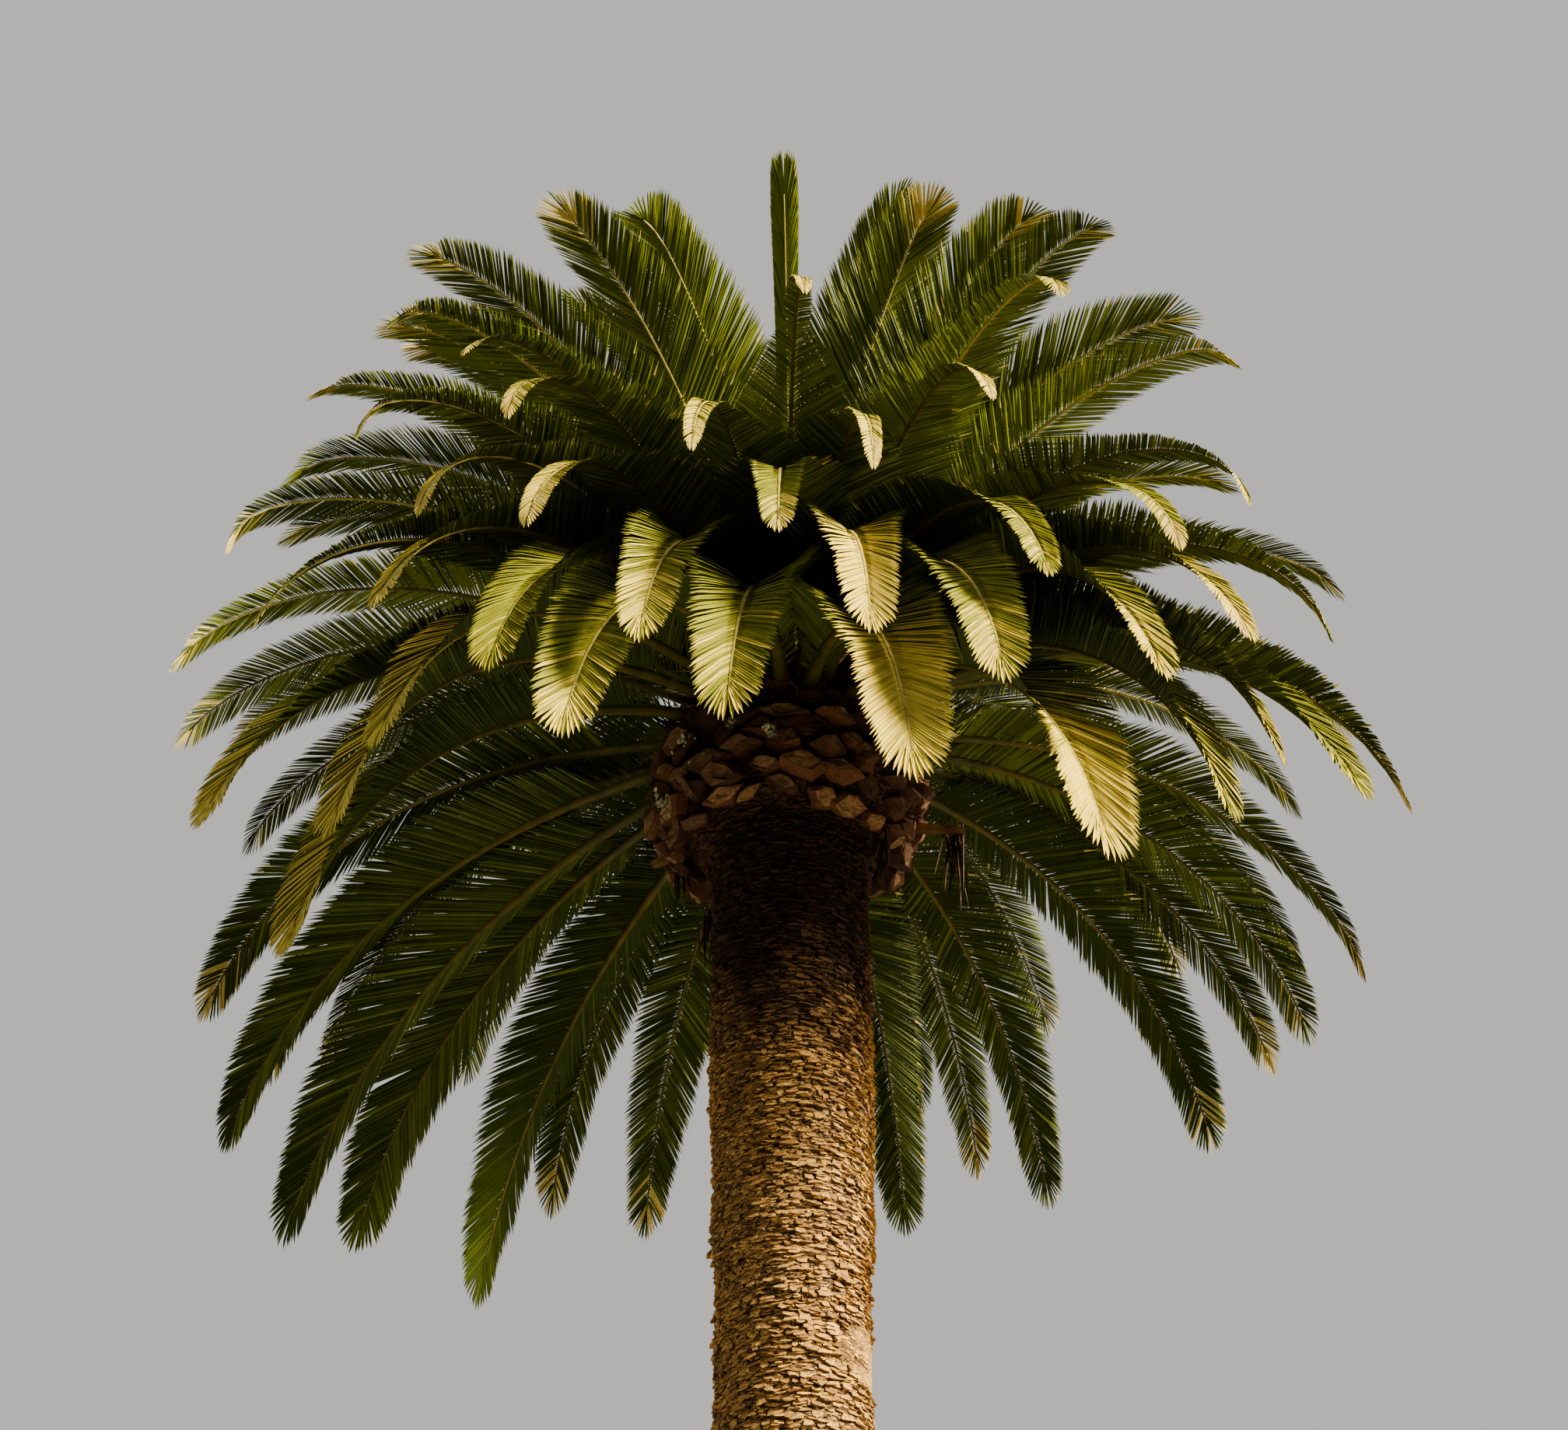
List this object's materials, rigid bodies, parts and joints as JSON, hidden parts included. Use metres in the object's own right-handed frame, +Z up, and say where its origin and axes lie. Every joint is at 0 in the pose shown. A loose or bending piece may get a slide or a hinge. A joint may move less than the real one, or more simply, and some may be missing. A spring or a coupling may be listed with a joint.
{
  "type": "date palm tree",
  "caption": "Grown date palm with a straight ringed trunk, a fat boss of cut leaf bases and a full round crown of arching feather fronds.",
  "frame": {"origin": "centre of the flat cut under the trunk, at ground level", "axes": "+Z up the trunk, +X to the right and +Y away from the side that is seen in the picture"},
  "size_m": [6.2535, 6.3247, 11.9214],
  "materials": {
    "bark": "rough weathered bark with leaf scars",
    "cut_leaf_bases": "rough sawn leaf bases with fibre between them",
    "frond": "satin leaf"
  },
  "bodies": {
    "root": {"trunk": "bark", "crown_boss": "cut_leaf_bases", "fronds_01": "frond", "fronds_02": "frond", "fronds_03": "frond", "fronds_04": "frond", "fronds_05": "frond", "fronds_06": "frond", "fronds_07": "frond", "fronds_08": "frond", "fronds_09": "frond", "fronds_10": "frond", "fronds_11": "frond", "fronds_12": "frond", "fronds_13": "frond", "fronds_14": "frond", "fronds_15": "frond", "fronds_16": "frond", "fronds_17": "frond", "fronds_18": "frond", "fronds_19": "frond", "fronds_20": "frond", "fronds_21": "frond", "fronds_22": "frond", "fronds_23": "frond", "fronds_24": "frond", "fronds_25": "frond", "fronds_26": "frond", "fronds_27": "frond", "fronds_28": "frond", "fronds_29": "frond", "fronds_30": "frond", "fronds_31": "frond", "fronds_32": "frond", "fronds_33": "frond", "fronds_34": "frond", "fronds_35": "frond", "fronds_36": "frond", "fronds_37": "frond", "fronds_38": "frond", "fronds_39": "frond", "fronds_40": "frond", "fronds_41": "frond", "fronds_42": "frond", "fronds_43": "frond", "fronds_44": "frond", "fronds_45": "frond", "fronds_46": "frond", "fronds_47": "frond", "fronds_48": "frond", "fronds_49": "frond", "fronds_50": "frond", "fronds_51": "frond", "fronds_52": "frond", "fronds_53": "frond", "fronds_54": "frond", "fronds_55": "frond", "fronds_56": "frond", "fronds_57": "frond", "fronds_58": "frond"}
  },
  "joints": []
}
